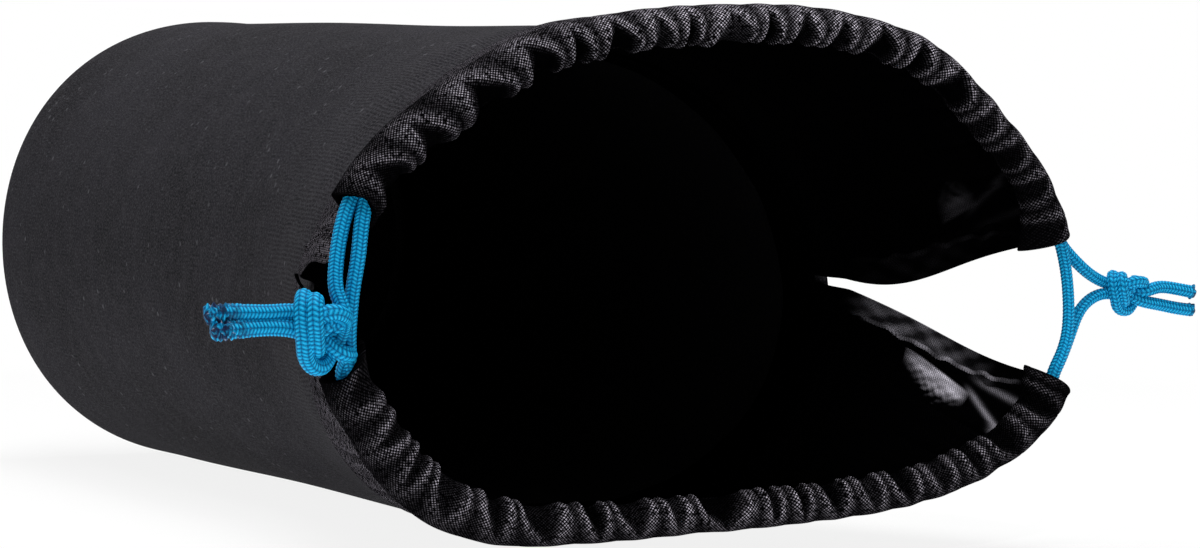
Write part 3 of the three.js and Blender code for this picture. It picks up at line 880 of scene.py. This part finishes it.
def braided_cord(name, points, widths, scorched=0.0, step=0.22, cols=48):
    """Braided tube along a route, of evenly spaced widths. Columns of plaits run round it, alternate ones
    slanting each way, and each plait stands out a little. A melted end is swollen, knobbly and scorched."""
    columns = 8
    plait_length = 0.85
    plait_height = 0.16
    rounding = 1.1
    route = smooth_route(points, step)
    side, up = across_route(route)
    s = np.arange(len(route))[:, None] * step
    angle = (np.arange(cols) / cols * TURN)[None, :]
    column = angle / TURN * columns
    within = column % 1.0
    slope = np.where(np.floor(column) % 2 == 0, 1.0, -1.0)
    beat = s / plait_length + slope * (within - 0.5) * 0.6
    plait = np.abs(np.sin(np.pi * beat)) * (1 - 0.7 * np.abs(2 * within - 1) ** 3)
    radius = read_along(s / s[-1], widths) / 2 + plait_height * (plait - 0.6)
    to_end = s[-1] - s
    near = np.clip(np.minimum(s, to_end) / rounding, 0, 1)
    rounded = np.sqrt(np.clip(1 - (1 - near) ** 2, 0.0006, 1))
    burnt = np.exp(-((to_end / scorched) ** 4)) if scorched else 0 * to_end
    radius = (radius + burnt * (0.1 + 0.35 * ripples(s * 2.4, angle * 2, 21, 7, 0.8, 2.4))) * rounded
    ring = side[:, None] * (radius * np.cos(angle))[..., None]
    ring = ring + up[:, None] * (radius * np.sin(angle))[..., None]
    around = np.arange(cols + 1) / cols * np.pi * CORD
    run = np.r_[s[:, 0], s[-1, 0] + step]
    piece = dress(name, route[:, None] + ring, ring_pattern(run, around), BRAID, wrap_cols=True, ends=True)
    mark(piece, "plait", plait)
    mark(piece, "scorch", burnt + 0 * plait)
    return piece, route


def free_cord(name, points, widths, body, nodes, scorched=0.0, blend=None):
    """A free stretch of drawcord. It leaves a tunnel at its second point and ends cut, or in the other
    tunnel."""
    piece, route = braided_cord(name, points, widths, scorched)
    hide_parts(*nodes)
    if blend:
        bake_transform(piece)
    else:
        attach(piece, body)


def strand(side, word, points, widths, scorched, blend):
    """One strand of a knotted cord, with its lead and tail. The upper strand stands for the knot too."""
    knot = [f"{side}_knot"] if word == "upper" else []
    nodes = [f"{side}_cord_{word}_lead", *knot, f"{side}_tail_{word}"]
    free_cord(f"{side}_strand_{word}", points, widths, f"{side}_pull", nodes, scorched, blend)


def left_strands():
    """The cord knotted on the left: one strand from each tunnel, through the knot, to its cut end."""
    knot = dict(centre=(-98.4, -211.0, 58.6), scale=(0.72, 1.0, 1.14), turn=180, tilt=-18)
    scorched = 8.0
    points = [
        (-86.4, -202.4, 89.0), (-88.2, -203.4, 86.5), (-91.2, -205.0, 79.0), (-92.8, -206.4, 72.0),
        (-93.2, -208.8, 65.6), (-93.0, -210.8, 60.8), *knot_route(0, **knot)[2:-1],
        (-109.0, -209.0, 62.4), (-117.0, -208.2, 62.5), (-124.8, -207.8, 62.2),
    ]
    widths = [3.5, 3.4, 3.4, 3.9, 4.0, 3.8, 3.8, 4.2]
    strand("left", "upper", points, widths, scorched, ((-88.6, -203.6, 85.0), (-94.4, -211.2, 73.4)))
    points = [
        (-88.5, -202.0, 45.0), (-89.8, -203.0, 47.8), (-89.6, -206.3, 52.0), *knot_route(1, **knot)[1:-1],
        (-109.0, -209.6, 59.2), (-117.0, -209.0, 59.0), (-123.6, -208.8, 58.8),
    ]
    widths = [3.4, 3.6, 3.9, 4.0, 4.0, 3.8, 4.0, 4.2]
    strand("left", "lower", points, widths, scorched, ((-88.0, -203.4, 48.0), (-90.5, -207.0, 54.0)))


def right_strands():
    """The cord knotted on the right, its knot passed the other way, with shorter ends that stand apart."""
    knot = dict(centre=(115.8, -200.0, 61.4), scale=(0.62, 0.66, 0.64), turn=180, tilt=-12)
    scorched = 1.4
    widths = [3.1, 2.9, 2.8, 2.8, 2.7, 2.7, 2.9, 3.0, 3.1]
    points = [
        (95.7, -200.2, 76.9), (97.0, -200.2, 74.0), (101.0, -200.4, 69.3), (104.2, -200.3, 66.6),
        *knot_route(0, **knot)[::-1][1:-1], (124.6, -200.0, 62.0), (129.0, -200.0, 61.7),
        (135.2, -200.0, 60.5),
    ]
    strand("right", "upper", points, widths, scorched, ((97.0, -200.0, 73.2), (105.2, -200.0, 65.0)))
    points = [
        (94.2, -200.3, 39.0), (95.6, -200.3, 41.8), (98.2, -200.4, 47.0), (100.6, -200.3, 52.6),
        (103.0, -200.3, 57.2), *knot_route(1, **knot)[::-1][1:-1], (124.6, -200.0, 57.9),
        (129.0, -200.0, 57.0), (135.0, -200.0, 56.1),
    ]
    strand("right", "lower", points, widths, scorched, ((96.0, -200.0, 43.0), (106.0, -200.0, 57.0)))


def crossings():
    """Where each cord crosses the other side's slit, slightly slack, from the upper tunnel to the lower."""
    points = [
        (-83.9, -204.6, 89.3), (-85.0, -205.0, 86.4), (-86.8, -206.6, 80.3), (-87.8, -207.4, 74.4),
        (-89.0, -207.6, 68.0), (-89.9, -207.6, 60.0), (-89.6, -206.6, 53.0), (-88.2, -205.2, 47.6),
        (-87.3, -204.7, 44.6),
    ]
    widths = [3.5, 3.4, 3.3, 3.2, 3.2]
    free_cord("left_slit_crossing", points, widths, "pouch", ["right_cord_crossing"])
    points = [
        (94.2, -203.9, 76.9), (95.0, -204.0, 74.2), (96.3, -204.2, 68.6), (97.0, -204.4, 63.0),
        (97.3, -204.4, 57.2), (96.9, -204.4, 51.7), (95.4, -204.3, 46.7), (93.6, -204.0, 42.6),
        (92.8, -203.9, 39.9),
    ]
    widths = [3.2, 2.9, 2.8, 2.8, 2.9, 3.1, 3.3]
    free_cord("right_slit_crossing", points, widths, "pouch", ["left_cord_crossing"])


def tunnel_runs():
    """The two cords side by side along each tunnel."""
    apart = 1.95
    for word, half in HALVES.items():
        line = hem_line(**half["line"], share=np.linspace(0.04, 0.96, 60))[0]
        for side, shift in (("left", -apart), ("right", apart)):
            route = line + shift * ALONG_Y
            piece, _ = braided_cord(f"{side}_run_{word}", route, [CORD, CORD], step=0.4, cols=24)
            set_piece(piece, f"{word}_hem", "braid", f"{side}_cord_{word}_run")


# Pieces on their bodies


def dress_pouch():
    """The tube with its base, cushion, lining and tapes, which stay still."""
    shell = set_piece(tube_shell(), "pouch", "neoprene", "body_shell")
    base = set_piece(base_panel(), "pouch", "neoprene", "base_disc")
    cushion = set_piece(base_cushion(), "pouch", "fleece", "base_pad", "base_lining")
    lining = set_piece(tube_lining(), "pouch", "fleece", "body_lining")
    base_tape = tape_band("base_tape", outer=57.8, start=108.4, stop=115.0, seed=31)
    set_piece(base_tape, "pouch", "woven", "base_seam_tape")
    mouth_tape = tape_band("mouth_tape", outer=57.2, start=RIM, stop=RIM + 12.0, seed=32)
    set_piece(mouth_tape, "pouch", "woven", "mouth_binding")


def dress_collar():
    """Each half's tunnel, which folds with its hem, and its panel, which runs from pouch to hem and stays
    fixed.
    """
    for word, half in HALVES.items():
        gathers = Gathers(**half["gathers"])
        hem = tunnel(f"hem_{word}_tunnel", half["line"], gathers, **half["tunnel"])
        set_piece(hem, f"{word}_hem", "woven", f"hem_{word}")
        cloth = panel(f"collar_{word}_panel", half["line"], half["first_angle"], gathers, **half["panel"])
        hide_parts(f"collar_{word}")
        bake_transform(cloth)


# Studio


def white_seen(nodes):
    """1 for what the camera, a reflection or a see-through surface looks at, 0 for light that bounces."""
    path = nodes.add("ShaderNodeLightPath")
    seen = nodes.maths("MAXIMUM", path.outputs["Is Camera Ray"], path.outputs["Is Glossy Ray"])
    return nodes.maths("MAXIMUM", seen, path.outputs["Is Transmission Ray"])


def floor():
    """White floor with a faint shadow near the pouch, which also lights it from below."""
    half = 60
    height = -0.0003
    corners = [(x * half, y * half, height) for x, y in ((-1, -1), (1, -1), (1, 1), (-1, 1))]
    mesh = bpy.data.meshes.new("floor")
    mesh.from_pydata(corners, [], [(0, 1, 2, 3)])
    sheet = bpy.data.objects.new("floor", mesh)
    bpy.context.scene.collection.objects.link(sheet)
    paper = Finish("paper", (0.9, 0.9, 0.9), 1.0)
    seen = white_seen(paper)
    bounced = paper.maths("SUBTRACT", 1.0, seen)
    strength = paper.maths("ADD", paper.times(bounced, 2.0), 1.0)
    glow = paper.add("ShaderNodeEmission", Color=(1, 1, 1, 1), Strength=strength)
    place = paper.add("ShaderNodeTexCoord").outputs["Object"]
    away = paper.add("ShaderNodeVectorMath", {"operation": "LENGTH"}, s0=place).outputs["Value"]
    shown = paper.times(seen, paper.maths("MAXIMUM", paper.ramp(away, 0.22, 0.5), 0.86))
    share = paper.maths("ADD", shown, paper.times(bounced, 0.22))
    mix = paper.add("ShaderNodeMixShader", s0=share, s1=paper.shader.outputs[0], s2=glow.outputs[0])
    paper.feed(paper.tree.nodes["Material Output"].inputs["Surface"], mix.outputs[0])
    mesh.materials.append(paper.material)


def surround():
    """White for what is seen, and a dim even light for what bounces."""
    world = bpy.data.worlds.new("studio")
    bpy.context.scene.world = world
    world.use_nodes = True
    sky = Nodes(world.node_tree)
    dim = sky.tree.nodes["Background"]
    sky.feed(dim.inputs["Color"], (1, 1, 1, 1))
    sky.feed(dim.inputs["Strength"], 0.2)
    white = sky.add("ShaderNodeBackground", Color=(1, 1, 1, 1), Strength=1.0)
    mixed = sky.add("ShaderNodeMixShader", s0=white_seen(sky), s1=dim.outputs[0], s2=white.outputs[0])
    sky.feed(sky.tree.nodes["World Output"].inputs["Surface"], mixed.outputs[0])


def aim_light(data, place, aim):
    """Puts a light at a place, turned towards a point."""
    light = bpy.data.objects.new(data.name, data)
    light.location = place
    light.rotation_euler = (Vector(aim) - Vector(place)).to_track_quat("-Z", "Y").to_euler()
    bpy.context.scene.collection.objects.link(light)


def lamp(name, place, aim, size, power):
    """Square soft lamp of a size in metres and a power in watts, turned towards a point."""
    data = bpy.data.lights.new(name, "AREA")
    data.size = size
    data.energy = power
    aim_light(data, place, aim)


def accent(place, aim):
    """Narrow spot on the painted satin highlight beside the right slit."""
    data = bpy.data.lights.new("accent", "SPOT")
    data.energy = 26
    data.spot_size = np.radians(3.8)
    data.spot_blend = 0.7
    data.shadow_soft_size = 0.02
    aim_light(data, place, aim)


def studio():
    """White floor and surround, soft lamps above and to both sides, and one narrow spot."""
    bpy.context.scene.view_settings.view_transform = "Standard"
    floor()
    surround()
    lamp("key", place=(-0.5, -0.8, 1.4), aim=(0, -0.1, 0.08), size=0.4, power=6)
    lamp("top", place=(0.1, -0.1, 1.4), aim=(0, 0, 0.06), size=0.7, power=18)
    lamp("right", place=(1.1, -1.0, 0.55), aim=(0.06, -0.19, 0.05), size=0.4, power=0.6)
    accent(place=(-0.25, -0.95, 0.7), aim=(0.078, -0.168, 0.024))


def camera():
    """Long lens from the front left, 3.3 degrees above the pouch, framed 1200 by 548."""
    frame_width = 1200
    target = Vector((0, -0.145, 0.062))
    distance = 1.2168
    turn = np.radians(-24.53)
    rise = np.radians(3.3)
    data = bpy.data.cameras.new("camera")
    data.sensor_width = 36.0
    data.lens = 150.0
    data.shift_x = 1.6 / frame_width
    data.shift_y = 13.8 / frame_width
    back = Vector((np.sin(turn) * np.cos(rise), -np.cos(turn) * np.cos(rise), np.sin(rise)))
    view = bpy.data.objects.new("camera", data)
    view.location = target + distance * back
    view.rotation_euler = (-back).to_track_quat("-Z", "Y").to_euler()
    bpy.context.scene.collection.objects.link(view)
    bpy.context.scene.camera = view


camera()
left_strands()
right_strands()
crossings()
tunnel_runs()
dress_pouch()
dress_collar()
studio()
